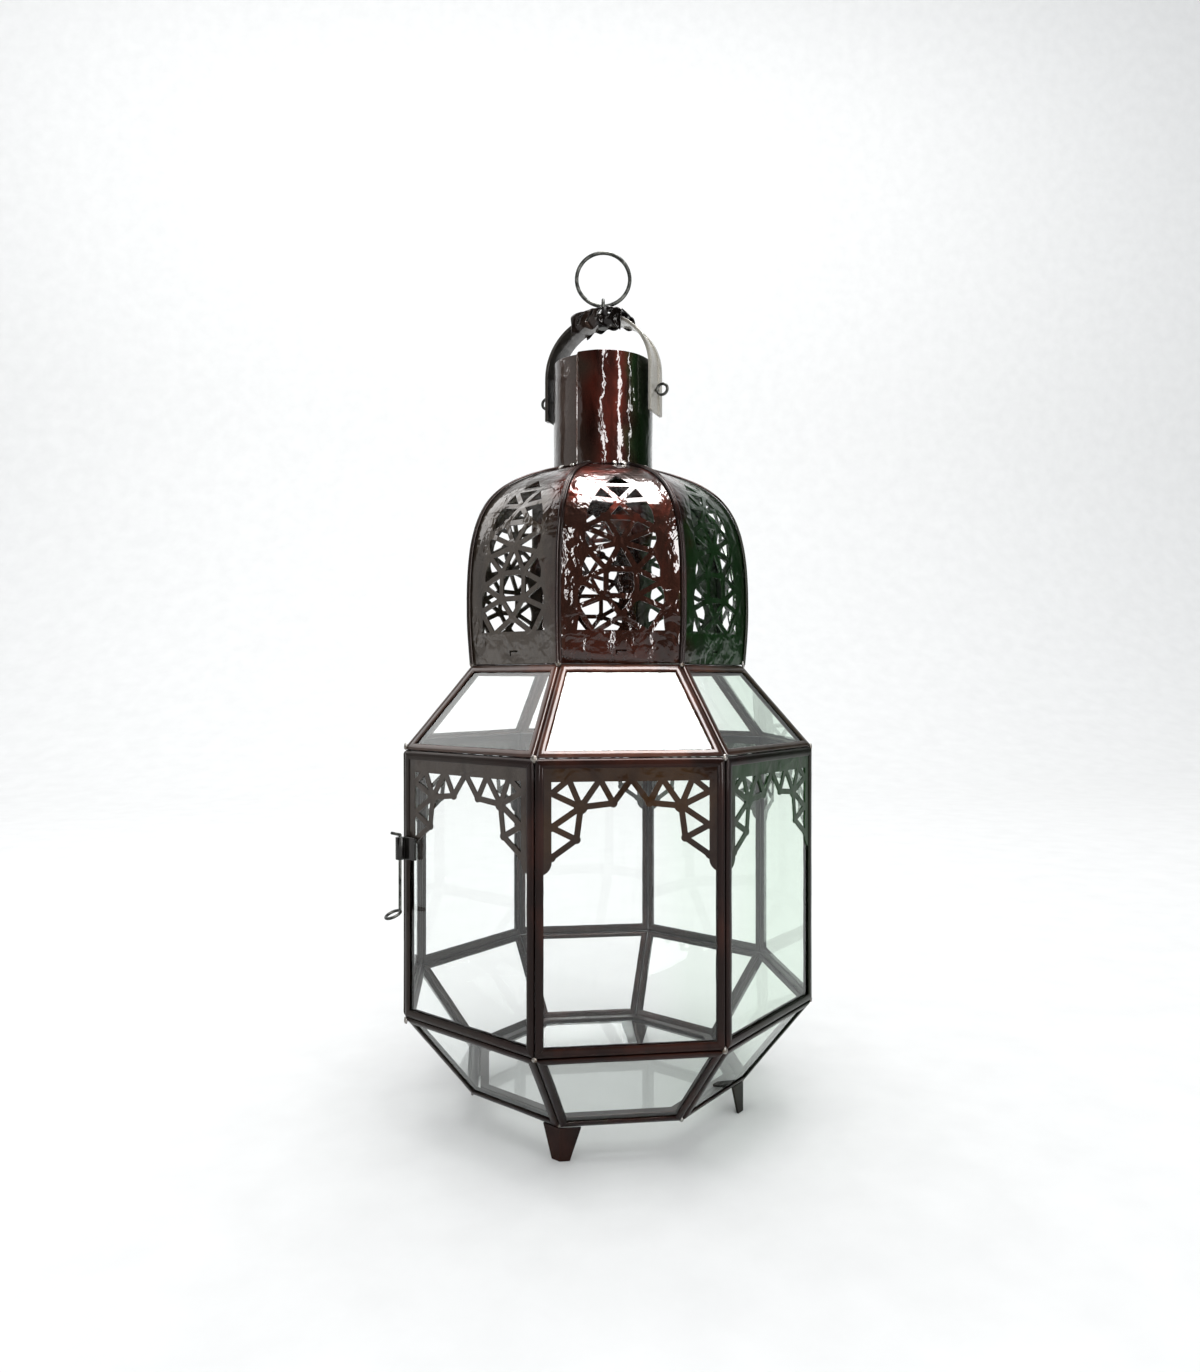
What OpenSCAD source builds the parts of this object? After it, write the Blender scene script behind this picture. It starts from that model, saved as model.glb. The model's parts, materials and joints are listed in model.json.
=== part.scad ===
// Eight-sided Moroccan lantern: pierced sheet-metal dome, glass body, wire bail and side door.
// Millimetres. +Z is up, the origin is the centre of the plane that the feet stand on.
// Faces are numbered from the front (-Y) anticlockwise seen from above; post k is to the left of face k.

/* [Body] */
// Distance across two opposite flats of the glass body
body_across = 200; // [180:1:220]
// Height of the upright glass band
band_h = 126; // [110:1:150]
// Height of the sloping glass between the feet and the band
lower_h = 44; // [35:1:55]
// Height of the sloping glass between the band and the dome
shoulder_h = 40.4; // [32:0.2:50]
// Apothem of the bottom octagon
bottom_a = 68.4; // [62:0.2:74]
// Height of the feet under the bottom octagon
foot_h = 15; // [12:0.5:20]

/* [Frames and glass] */
// Width of the folded channel strip that edges each pane
strip_w = 4.2; // [3.8:0.1:5]
// Depth of the folded channel strip
strip_d = 3.4; // [3.2:0.1:4]
// Thickness of the sheet metal in the strips
lip_t = 0.5; // [0.4:0.05:0.6]
// Thickness of the glass
glass_t = 1.6; // [1.4:0.1:1.8]
// Gap between the strips of neighbouring panes
seam_gap = 0.2; // [0.1:0.05:0.3]
// Gap around the door
door_gap = 0.7; // [0.6:0.05:0.9]

/* [Dome] */
// Circumradius of the dome where it meets the shoulder
dome_base_r = 73.5; // [70:0.1:76]
// Circumradius of the dome at its widest
dome_belly_r = 75.1; // [73:0.1:78]
// Height of the widest place over the dome's base
belly_h = 28.2; // [24:0.2:32]
// Height of the whole dome
dome_h = 101; // [98:0.2:110]
// Thickness of the dome's sheet
dome_t = 0.9; // [0.7:0.1:1.1]
// Width of the folded seam over each ridge
seam_w = 2.8; // [2:0.1:3.5]

/* [Chimney and bail] */
// Outer radius of the chimney
chimney_r = 26.5; // [25:0.1:27]
// Thickness of the chimney's sheet
chimney_t = 0.8; // [0.6:0.1:1]
// Height of the chimney
chimney_h = 56.8; // [50:0.2:62]
// Height of the bail's pins over the chimney's foot
pin_up = 40.8; // [39:0.2:43]
// Direction of the bail's pins, in degrees from +X
bail_turn = -30; // [-45:1:0]
// Inner radius of the bail's arch
bail_r = 28.4; // [28:0.1:30]
// Height of the arch's centre over the pins
arch_up = 10.8; // [10:0.2:13]
// Length of the strap below the pins
strap_tail = 12; // [9:0.5:13]
// Width of the strap
strap_wide = 17; // [15:0.5:18]
// Thickness of the strap
strap_t = 0.8; // [0.6:0.1:1]
// Radius of the wire that the pins are bent from
pin_r = 0.75; // [0.7:0.05:0.9]
// Middle radius of the hanging ring
ring_r = 14; // [12:0.5:16]
// Radius of the hanging ring's wire
ring_wire = 1; // [0.8:0.1:1.2]

/* [Door and latch] */
// Largest radius of the hinge's rolled knuckles
knuckle_r = 1.95; // [1.8:0.05:2]
// Radius of the hinge's pins
hinge_pin_r = 1; // [0.9:0.05:1.1]
// Height of one hinge knuckle
knuckle_h = 4; // [3:0.5:6]
// Height of the latch sleeve's lower end over the bottom of the band
sleeve_up = 75; // [50:1:90]
// Height of the latch's rolled sleeve
sleeve_h = 10.5; // [8:0.5:14]
// Distance from the sleeve down to the latch's finger ring
latch_drop = 24; // [15:1:30]

/* [Hidden] */
$fn = 64;
HALF = 22.5;                           // half the angle of one of the eight faces
SIDES = [0:7];
DOOR_FACE = 6;                         // the face that looks along -X is the door
body_a = body_across / 2;
bottom_z = foot_h;
band_z = bottom_z + lower_h;
rim_z = band_z + band_h;
dome_z = rim_z + shoulder_h;
dome_a = dome_base_r * cos(HALF);
groove_d = strip_d - 2 * lip_t;        // inner depth of a channel strip
wall = 0.7;                            // from the groove's floor to the strip's outer edge
slack = 0.1;                           // play of a pane in its groove
sheet_t = 0.6;                         // pierced sheet of the valances, hinge leaves and latch leaf
chimney_z = dome_z + dome_h + 0.15;
pin_z = chimney_z + pin_up;
arch_z = pin_z + arch_up;
strap_out = bail_r + strap_t;
hem_w = 4;                             // folded edge of the strap
run_gap = 0.07;                        // radial play of a pin in its hole

// ---- placing ----

// Turns a child drawn on the front face onto face i.
module on_face(i) { rotate(45 * i) children(); }

// Puts a child drawn at the origin, with +X outwards, at the given distance from the axis along post k.
module on_post(k, r) { rotate(45 * k - 90 - HALF) translate([r, 0, 0]) children(); }

// The sector between the two posts of the front face, with half of the gap taken off each side.
module sector(gap) {
    reach = 150;
    translate([0, -gap / 2 / sin(HALF), 0])
        linear_extrude(height = 400)
            polygon([[0, 0], [-reach * tan(HALF), -reach], [reach * tan(HALF), -reach]]);
}

// Lays a flat shape (x along the face, y up the slope, z outwards) on the plane that rises from
// apothem a0 at height z0 to apothem a1 at height z1.
module on_slope(a0, z0, a1, z1) {
    translate([0, -a0, z0]) rotate([atan2(z1 - z0, a0 - a1), 0, 0]) children();
}

// ---- flat helpers ----

// A straight bar from a to b.
module bar(a, b, w) {
    translate(a) rotate(atan2(b[1] - a[1], b[0] - a[0])) translate([0, -w / 2]) square([norm(b - a), w]);
}

// Draws the children, and again mirrored in x.
module both_sides() {
    children();
    mirror([1, 0]) children();
}

// Corners of a pane in a face that narrows from apothem a0 to a1 over a slope of length l, set in by
// side, low and high from the face's own edges.
function pane(a0, a1, l, side, low, high) =
    let (lean = atan((a0 - a1) * tan(HALF) / l))
    let (half = function (v) (a0 + (a1 - a0) * v / l) * tan(HALF) - side / cos(lean))
    [[-half(low), low], [half(low), low], [half(l - high), l - high], [-half(l - high), l - high]];

// ---- framed panes ----

// Channel strip around an upright pane of the band, on the front face.
module upright_frame(gap) {
    edge = gap / 2 / cos(HALF);
    outer = body_a * tan(HALF) - edge;
    inner = (body_a - strip_d) * tan(HALF) - edge;
    groove = (body_a - strip_d + lip_t) * tan(HALF) - edge - wall;
    h = band_h - gap;
    difference() {
        translate([0, 0, band_z + gap / 2]) linear_extrude(height = h)
            polygon([[-outer, -body_a], [outer, -body_a], [inner, strip_d - body_a], [-inner, strip_d - body_a]]);
        translate([-outer + strip_w, -body_a - 1, band_z + strip_w])
            cube([2 * (outer - strip_w), strip_d + 2, band_h - 2 * strip_w]);
        translate([-groove, lip_t - body_a, band_z + gap / 2 + wall])
            cube([2 * groove, groove_d, h - 2 * wall]);
    }
}

// Pane of the band, behind the valance.
module upright_glass(gap) {
    half = (body_a - strip_d + lip_t) * tan(HALF) - gap / 2 / cos(HALF) - wall - slack;
    low = band_z + gap / 2 + wall + slack;
    color([0.75, 0.85, 0.8, 0.4])
        translate([-half, strip_d - lip_t - slack - glass_t - body_a, low])
            cube([2 * half, glass_t, band_h - gap - 2 * (wall + slack)]);
}

// Channel strip around a sloping pane, on the front face, cut level at its lower and upper edges.
module slope_frame(a0, z0, a1, z1) {
    l = norm([a1 - a0, z1 - z0]);
    level = strip_d * l / (z1 - z0);
    drift = (strip_d - lip_t) * (a0 - a1) / (z1 - z0);
    intersection() {
        sector(seam_gap);
        difference() {
            rotate([90, 0, 90]) linear_extrude(height = 200, center = true)
                polygon([[-a0, z0], [-a1, z1], [level - a1, z1], [level - a0, z0]]);
            on_slope(a0, z0, a1, z1) {
                translate([0, 0, -strip_d - 5]) linear_extrude(height = strip_d + 10)
                    polygon(pane(a0, a1, l, strip_w, strip_w, strip_w));
                translate([0, 0, lip_t - strip_d]) linear_extrude(height = groove_d)
                    polygon(slope_groove(a0, a1, l, drift, 0));
            }
        }
    }
}

// Outline of the groove in a sloping strip: the level cut leaves less room at one edge.
function slope_groove(a0, a1, l, drift, play) =
    pane(a0, a1, l, 1.8 + play, wall + max(drift, 0) + play, wall + max(-drift, 0) + play);

// Pane of a sloping face, on the front face.
module slope_glass(a0, z0, a1, z1) {
    l = norm([a1 - a0, z1 - z0]);
    drift = (strip_d - lip_t) * (a0 - a1) / (z1 - z0);
    on_slope(a0, z0, a1, z1) translate([0, 0, -strip_d / 2 - glass_t / 2])
        linear_extrude(height = glass_t) polygon(slope_groove(a0, a1, l, drift, slack));
}

// ---- valance ----

// Pierced valance sheet: x from the middle of the face, y up, 0 at the rim.
module valance_shape(half) {
    bar_w = 2.6;
    top = [for (x = [0, 13.3, 26.5]) [x, -9]];
    edge = [for (y = [14.8, 29, 41.7]) [33.8, -y]];
    hub = [21.5, -20.7];
    low = [23.3, -34.3];
    peak = [7.7, -19.2];
    links = [
        [edge[0], top[2]], [edge[0], hub], [edge[1], hub], [edge[1], low], [low, edge[2]], [hub, low],
        [hub, top[2]], [hub, top[1]], [top[1], peak], [peak, top[0]], [peak, hub]
    ];
    translate([-half, -10]) square([2 * half, 10 - door_gap / 2 - wall - slack]);
    both_sides() {
        translate([33.8, -43.6]) square([half - 33.8, 40]);
        intersection() {
            translate([39.3, -43.6]) circle(r = 5.6);
            translate([30, -52]) square([half - 30, 10]);
        }
        for (link = links) bar(link[0], link[1], bar_w);
        for (joint = [low, peak, top[1], top[2], edge[1], edge[2]]) translate(joint) circle(r = 1.8);
        translate(hub) circle(r = 2.95);
    }
    translate(top[0]) circle(r = 1.8);
}

// Valance of the front face, in the groove in front of the glass.
module upright_valance(gap) {
    half = (body_a - strip_d + lip_t) * tan(HALF) - gap / 2 / cos(HALF) - wall - slack;
    color([0.22, 0.13, 0.1])
        translate([0, lip_t + slack + sheet_t - body_a, rim_z]) rotate([90, 0, 0])
            linear_extrude(height = sheet_t) valance_shape(half);
}

// ---- dome ----

// The ridge of the dome, as [circumradius, height over the dome's base]: a gentle swell up to the belly,
// then one cubic curve over to the chimney.
ridge_top = [chimney_r, dome_h];
ridge_pull = [[0, 50], [38.4, -11.3]];        // how far each end of the curve keeps its direction
function swell(t) = [dome_base_r + (dome_belly_r - dome_base_r) * sin(90 * t), belly_h * t];
function cubic(a, b, c, d, t) =
    a * pow(1 - t, 3) + 3 * b * t * pow(1 - t, 2) + 3 * c * t * t * (1 - t) + d * pow(t, 3);
function crown_curve(t) =
    let (start = [dome_belly_r, belly_h])
    cubic(start, start + ridge_pull[0], ridge_top + ridge_pull[1], ridge_top, t);
ridge = concat([for (t = [0:0.25:0.75]) swell(t)], [for (t = [0:1/26:1.001]) crown_curve(min(t, 1))]);

// The middle line of a gore, as [apothem, height], and the inner line one sheet thickness inside it.
gore_line = [for (p = ridge) [p[0] * cos(HALF), p[1]]];
last = len(gore_line) - 1;
function along(i) = gore_line[min(i + 1, last)] - gore_line[max(i - 1, 0)];
gore_inner = [
    for (i = [0:last]) let (d = along(i) / norm(along(i))) gore_line[i] + dome_t * [-d[1], d[0]]
];

// Arc length up the gore at each point of its line, and tables to look a place up by it.
arc_len = [for (i = 0, s = 0; i <= last; s = s + norm(gore_line[min(i + 1, last)] - gore_line[i]), i = i + 1) s];
apothem_at = [for (i = [0:last]) [arc_len[i], gore_line[i][0]]];
height_at = [for (i = [0:last]) [arc_len[i], gore_line[i][1]]];
angle_at = [for (i = [0:last]) [arc_len[i], atan2(along(i)[1], -along(i)[0])]];

// The plane that touches the gore at arc length s.
module on_gore(s) {
    translate([0, -lookup(s, apothem_at), dome_z + lookup(s, height_at)])
        rotate([lookup(s, angle_at), 0, 0]) children();
}

// Joints of the pierced pattern, as [distance from the middle, arc length].
mid = [[0, 21.8], [0, 55.5], [0, 76]];
inner = [[7, 30.8], [7, 43], [7, 67.5]];
outer = [
    [12.6, 14], [21.6, 14], [20.2, 25.5], [18.6, 37.5], [15.2, 51.5], [16.6, 62.5], [13.4, 77.5], [8.4, 86.5]
];
apex = [0, 96.5];
function flip(p) = [-p[0], p[1]];

// Four points that swell the edge from a to b sideways, between joints of the scalloped border.
function scallop(a, b, out) = [for (t = [0.2:0.2:0.81]) a + (b - a) * t + [out * sin(180 * t), 0]];

// Openings on the right of the middle line, and those that straddle it.
side_cells = [
    [outer[0], outer[1], outer[2]],
    [mid[0], outer[0], outer[2], inner[0]],
    concat([inner[0], outer[2]], scallop(outer[2], outer[3], 1.7), [outer[3]]),
    [inner[0], outer[3], inner[1]],
    concat([inner[1], outer[3]], scallop(outer[3], outer[4], 2), [outer[4]]),
    [inner[1], outer[4], mid[1]],
    concat([mid[1], outer[4]], scallop(outer[4], outer[5], 1.8), [outer[5]]),
    [mid[1], outer[5], inner[2]],
    concat([mid[2], inner[2], outer[5]], scallop(outer[5], outer[6], 1.6), [outer[6]]),
    [mid[2], outer[6], outer[7]]
];
middle_cells = [
    [flip(outer[0]), outer[0], mid[0]],
    [mid[0], inner[0], flip(inner[0])],
    [inner[0], inner[1], flip(inner[1]), flip(inner[0])],
    [flip(inner[1]), inner[1], mid[1]],
    [mid[1], inner[2], flip(inner[2])],
    [flip(inner[2]), inner[2], mid[2]],
    [mid[2], outer[7], flip(outer[7])],
    [flip(outer[7]), outer[7], apex]
];
punched_bar = 2.5;                    // width of the bars left between the openings
hub_r = 2.4;

// A convex outline moved inwards by d.
function inset(pts, d) = let (n = len(pts)) [
    for (i = [0:n - 1])
        let (a = pts[(i + n - 1) % n], b = pts[i], c = pts[(i + 1) % n])
        let (u = (b - a) / norm(b - a), v = (c - b) / norm(c - b))
        b + d * (v - u) / (u[0] * v[1] - u[1] * v[0])
];

// Cutter for one opening: its outline less the bars' half width and the round joints at its corners.
module cell(pts, joints) {
    s = (min([for (p = pts) p[1]]) + max([for (p = pts) p[1]])) / 2;
    on_gore(s) linear_extrude(height = 8, center = true) translate([0, -s]) difference() {
        polygon(inset(pts, punched_bar / 2));
        for (p = joints) translate(p) circle(r = hub_r);
    }
}

module pierced_pattern() {
    hubs = concat(mid, inner, [outer[3], outer[5]]);
    function near(pts) = [for (h = hubs) if (len([for (p = pts) if (norm(p - h) < 0.1) 1]) > 0) h];
    for (c = side_cells) {
        cell(c, near(c));
        mirror([1, 0, 0]) cell(c, near(c));
    }
    for (c = middle_cells) cell(c, concat(near(c), [for (h = near(c)) flip(h)]));
    on_gore(5.5) translate([0, 0, -4]) linear_extrude(height = 8) {
        translate([-2.6, 0]) square([5.2, 0.9]);
        translate([-2.6, -1.6]) square([0.9, 2]);
    }
}

// One curved, pierced gore, on the front face.
module dome_gore() {
    color([0.28, 0.16, 0.12]) difference() {
        intersection() {
            sector(seam_gap);
            rotate([90, 0, 90]) linear_extrude(height = 120, center = true)
                polygon([
                    for (p = gore_line) [-p[0], dome_z + 0.1 + p[1]],
                    for (i = [last:-1:0]) [-gore_inner[i][0], dome_z + 0.1 + max(gore_inner[i][1], 0)]
                ]);
        }
        pierced_pattern();
    }
}

// Folded seams that close the eight ridges.
module dome_seams() {
    rise = 1.1;
    color([0.2, 0.12, 0.1]) for (k = SIDES)
        on_post(k, 0) rotate([90, 0, 0]) linear_extrude(height = seam_w, center = true)
            polygon([
                for (p = ridge) [p[0] + 0.06, dome_z + 0.16 + p[1]],
                for (i = [last:-1:0])
                    let (q = ridge[min(i + 1, last)] - ridge[max(i - 1, 0)])
                    [ridge[i][0] + 0.06 + rise * q[1] / norm(q), dome_z + 0.16 + ridge[i][1] - rise * q[0] / norm(q)]
            ]);
}

// ---- chimney ----

// Rolled tube with a lapped seam; the sheet was rolled askew, so one side of the rim is lower.
module chimney_tube() {
    lap_step = 1.6;
    lap_turn = 26;
    lap_edge = -127;
    low_side = [for (turn = [3, 80, 160]) 60 * [cos(lap_edge - turn), sin(lap_edge - turn)]];
    color([0.3, 0.17, 0.13]) translate([0, 0, chimney_z]) difference() {
        union() {
            cylinder(r = chimney_r, h = chimney_h);
            rotate(lap_edge - lap_turn) rotate_extrude(angle = lap_turn)
                translate([chimney_r - 0.4, 0]) square([1, chimney_h]);
        }
        translate([0, 0, -1]) cylinder(r = chimney_r - chimney_t, h = chimney_h + 2);
        translate([0, 0, chimney_h - lap_step]) linear_extrude(height = 5) polygon(concat([[0, 0]], low_side));
        translate([0, 0, pin_up]) rotate([0, 90, bail_turn])
            cylinder(r = pin_r + run_gap, h = 4 * chimney_r, center = true);
    }
}

// ---- body ----

// Octagonal plate with its flats on the axes.
module octagon(a, h) { rotate(HALF) cylinder(r = a / cos(HALF), h = h, $fn = 8); }

// Channel ring that carries the floor pane.
module base_frame() {
    a = bottom_a - strip_d * norm([body_a - bottom_a, lower_h]) / lower_h - 0.3;
    color([0.2, 0.13, 0.1]) translate([0, 0, bottom_z]) difference() {
        octagon(a, strip_d);
        translate([0, 0, -1]) octagon(a - strip_w, strip_d + 2);
        translate([0, 0, lip_t]) octagon(a - wall, groove_d);
    }
}

module base_glass() {
    a = bottom_a - strip_d * norm([body_a - bottom_a, lower_h]) / lower_h - 0.3 - wall - slack;
    color([0.75, 0.85, 0.8, 0.4]) translate([0, 0, bottom_z + lip_t + slack]) octagon(a, glass_t);
}

// Foot: a tapered plate bent round the corner under the bottom ring.
module foot() {
    t = 1.2;
    top_w = 10;
    toe_w = 4.8;
    a = bottom_a - 0.4;
    post = a / cos(HALF);
    color([0.2, 0.13, 0.1]) for (side = [0, 1]) mirror([0, side, 0]) intersection() {
        // one leaf of the bend: a slab along the face, cut off at the post's plane
        rotate(90 - HALF) translate([0, -a, 0]) rotate([90, 0, 0]) translate([0, 0, -t])
            linear_extrude(height = t)
                polygon([
                    [a * tan(HALF) + 1, foot_h], [a * tan(HALF) - top_w, foot_h],
                    [a * tan(HALF) - toe_w, 0], [a * tan(HALF) + 1, 0]
                ]);
        translate([post - 40, -80, -1]) cube([60, 80, foot_h + 2]);
    }
}

// ---- door hinge ----

hinge_off = 2.6;                      // from the post's edge out to the hinge axis
hinge_low = [21, 93];                 // lower end of each hinge over the bottom of the band
knuckle_gap = 0.35;

// A rolled knuckle at the hinge axis with its leaf along the face on the given side of the post.
module knuckle(up, side) {
    far = body_a / cos(HALF) + hinge_off;
    leaf = 7;
    on_post(DOOR_FACE, 0) mirror([0, side, 0]) translate([0, 0, up]) difference() {
        union() {
            translate([far, 0, 0]) cylinder(r = knuckle_r, h = knuckle_h);
            rotate(HALF) translate([body_a + 0.05, far * sin(-HALF), 0])
                cube([sheet_t, leaf, knuckle_h]);
        }
        translate([far, 0, -1]) cylinder(r = hinge_pin_r + run_gap, h = knuckle_h + 2);
    }
}

module hinge_knuckles_post() {
    color([0.2, 0.13, 0.1]) for (z = hinge_low, n = [0, 2])
        knuckle(band_z + z + n * (knuckle_h + knuckle_gap), 1);
}

module hinge_knuckles_door() {
    color([0.2, 0.13, 0.1]) for (z = hinge_low) knuckle(band_z + z + knuckle_h + knuckle_gap, 0);
}

module hinge_pins() {
    over = 1.2;
    h = 3 * knuckle_h + 2 * knuckle_gap + 2 * over;
    color([0.25, 0.25, 0.25]) for (z = hinge_low)
        on_post(DOOR_FACE, body_a / cos(HALF) + hinge_off) translate([0, 0, band_z + z - over]) {
            cylinder(r = hinge_pin_r, h = h);
            cylinder(r = hinge_pin_r + 0.5, h = over - 0.2);
            translate([0, 0, h - over + 0.2]) cylinder(r = hinge_pin_r + 0.5, h = over - 0.2);
        }
}

// ---- latch ----

latch_off = 2.9;                      // from the front-left face out to the sleeve's axis
latch_in = 1.4;                       // from the post's edge along that face
latch_wire_r = 0.7;
latch_face = DOOR_FACE + 1;

// Puts a child at the sleeve's axis.
module at_latch() {
    on_face(latch_face) translate([-body_a * tan(HALF) + latch_in, -body_a - latch_off, band_z + sleeve_up])
        children();
}

module latch_sleeve() {
    color([0.15, 0.1, 0.08]) at_latch() difference() {
        union() {
            cylinder(r = 2.1, h = sleeve_h);
            translate([-0.6, latch_off - 0.05 - 1.4, 0]) cube([9, 1.4, sleeve_h]);
        }
        translate([0, 0, -1]) cylinder(r = latch_wire_r + run_gap, h = sleeve_h + 2);
    }
}

// Wire that turns in the sleeve: a short catch above it, a finger ring below.
module latch_wire() {
    catch_l = 4.6;
    ring_mid = 3.6;
    droop = 22;
    catch_z = sleeve_h + 0.3 + latch_wire_r;
    color([0.12, 0.1, 0.1]) at_latch() rotate(-45 * latch_face) {
        translate([0, 0, -latch_drop]) cylinder(r = latch_wire_r, h = latch_drop + catch_z);
        translate([0, 0, catch_z]) sphere(r = latch_wire_r);
        translate([0, 0, catch_z]) rotate([0, 82, 157]) cylinder(r = latch_wire_r, h = catch_l);
        translate([0, 0, -latch_drop]) rotate([0, droop, 205]) translate([ring_mid, 0, 0])
            rotate_extrude() translate([ring_mid, 0]) circle(r = latch_wire_r);
    }
}

// ---- bail ----

// Arch with straight legs, seen along the strap's width: x from the middle, y over the pins.
module arch_shape(r_in, r_out) {
    translate([0, arch_up]) intersection() {
        difference() {
            circle(r = r_out);
            circle(r = r_in);
        }
        translate([-50, 0]) square([100, 50]);
    }
    both_sides() translate([r_in, -strap_tail]) square([r_out - r_in, strap_tail + arch_up]);
}

// Puts a child in the bail's own frame: X along the pins, origin on their axis.
module at_bail() { translate([0, 0, pin_z]) rotate(bail_turn) children(); }

module bail_strap() {
    color([0.25, 0.2, 0.16]) at_bail() difference() {
        union() {
            rotate([90, 0, 0]) linear_extrude(height = strap_wide, center = true)
                arch_shape(bail_r, strap_out);
            for (side = [-1, 1]) translate([0, side * (strap_wide - hem_w) / 2, 0])
                rotate([90, 0, 0]) linear_extrude(height = hem_w, center = true)
                    arch_shape(strap_out - 0.1, strap_out + strap_t);
        }
        rotate([0, 90, 0]) cylinder(r = pin_r + run_gap, h = 100, center = true);
        cylinder(r = 1.6, h = 60);
    }
}

// Crimped saddle of pierced sheet over the top of the arch.
module bail_crown() {
    long = 28;
    t = 0.8;
    inside = strap_wide / 2 + 0.15;
    top = arch_up + strap_out + strap_t + 3.7;
    tall = 7.4;
    color([0.1, 0.08, 0.07]) at_bail() difference() {
        union() {
            translate([-long / 2, -inside - t, top - t]) cube([long, 2 * (inside + t), t]);
            for (side = [0, 1]) mirror([0, side, 0]) translate([0, inside, top - tall])
                rotate([90, 0, 180]) linear_extrude(height = t) crown_cheek(long, tall);
        }
        translate([0, 0, top - 2]) linear_extrude(height = 4) square([9, 12], center = true);
    }
}

// Side of the saddle: a strip with a zigzag lower edge and slanting openings.
module crown_cheek(long, tall) {
    teeth = 4;
    pitch = long / teeth;
    difference() {
        translate([-long / 2, 0]) square([long, tall]);
        for (i = [0:teeth]) translate([(i - teeth / 2) * pitch, -0.01])
            polygon([[-pitch * 0.3, 0], [pitch * 0.3, 0], [0, 2]]);
        for (i = [0:teeth - 1]) translate([(i - (teeth - 1) / 2) * pitch, 2.2])
            polygon([[-1.7, 0], [1.7, 0], [0, 2.2]]);
    }
}

// Wire pin through the strap and the chimney wall, with a finger loop outside.
module bail_pin() {
    loop_mid = 2.75;
    start = strap_out + 0.3;
    stub = 3;
    color([0.15, 0.15, 0.14]) at_bail() {
        translate([chimney_r - chimney_t - 2, 0, 0]) rotate([0, 90, 0])
            cylinder(r = pin_r, h = start - chimney_r + chimney_t + 2 + pin_r);
        translate([chimney_r - chimney_t - 2, 0, -stub]) cylinder(r = pin_r, h = stub);
        translate([chimney_r - chimney_t - 2, 0, 0]) sphere(r = pin_r);
        translate([start + loop_mid + pin_r, 0, 0]) rotate([90, 0, 0])
            rotate_extrude() translate([loop_mid, 0]) circle(r = pin_r);
    }
}

// ---- hanging ring ----

ring_turn = -7;                       // direction of the ring's plane from +X
eye_mid = 2.9;
eye_wire = 0.9;
eye_z = arch_z + strap_out + strap_t + 7;

// Eye that swivels in the top of the strap, its shank riveted over below.
module ring_eye() {
    under = arch_z + bail_r;
    color([0.12, 0.1, 0.1]) {
        translate([0, 0, eye_z]) rotate([0, 90, ring_turn])
            rotate_extrude() translate([eye_mid, 0]) circle(r = eye_wire);
        translate([0, 0, under - 2.6]) cylinder(r = 1.5, h = eye_z - eye_mid - under + 2.6);
        translate([0, 0, under - 3.4]) cylinder(r = 2.6, h = 3);
        translate([0, 0, under + 2 * strap_t + 0.4]) cylinder(r = 2.6, h = 0.8);
    }
}

module hang_ring() {
    color([0.15, 0.17, 0.16]) translate([0, 0, eye_z + ring_r]) rotate([90, 0, ring_turn])
        rotate_extrude() translate([ring_r, 0]) circle(r = ring_wire);
}

// ---- assembly ----

module frame_colour(i) { color(i % 2 == 0 ? [0.24, 0.12, 0.1] : [0.3, 0.2, 0.16]) children(); }

for (i = SIDES) {
    on_face(i) dome_gore();
    if (i != DOOR_FACE) {
        frame_colour(i) on_face(i) upright_frame(seam_gap);
        on_face(i) upright_glass(seam_gap);
        on_face(i) upright_valance(seam_gap);
    }
}
dome_seams();
chimney_tube();
frame_colour(DOOR_FACE) on_face(DOOR_FACE) upright_frame(door_gap);  // door_frame
on_face(DOOR_FACE) upright_glass(door_gap);  // door_glass
on_face(DOOR_FACE) upright_valance(door_gap);  // door_valance
color([0.42, 0.25, 0.18]) for (i = SIDES) on_face(i) slope_frame(body_a, rim_z, dome_a, dome_z);  // shoulder_frames
color([0.75, 0.85, 0.8, 0.4]) for (i = SIDES) on_face(i) slope_glass(body_a, rim_z, dome_a, dome_z);  // shoulder_glass
color([0.24, 0.15, 0.12]) for (i = SIDES) on_face(i) slope_frame(bottom_a, bottom_z, body_a, band_z);  // lower_frames
color([0.75, 0.85, 0.8, 0.4]) for (i = SIDES) on_face(i) slope_glass(bottom_a, bottom_z, body_a, band_z);  // lower_glass
base_frame();
base_glass();
for (i = [0:3]) on_post(2 * i, 0) foot();
hinge_knuckles_post();
hinge_knuckles_door();
hinge_pins();
latch_sleeve();
latch_wire();
bail_strap();
bail_crown();
bail_pin();  // bail_pin_right
rotate(180) bail_pin();  // bail_pin_left
ring_eye();
hang_ring();
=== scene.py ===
import json
import math
import random

import bpy
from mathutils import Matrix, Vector, noise


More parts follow.
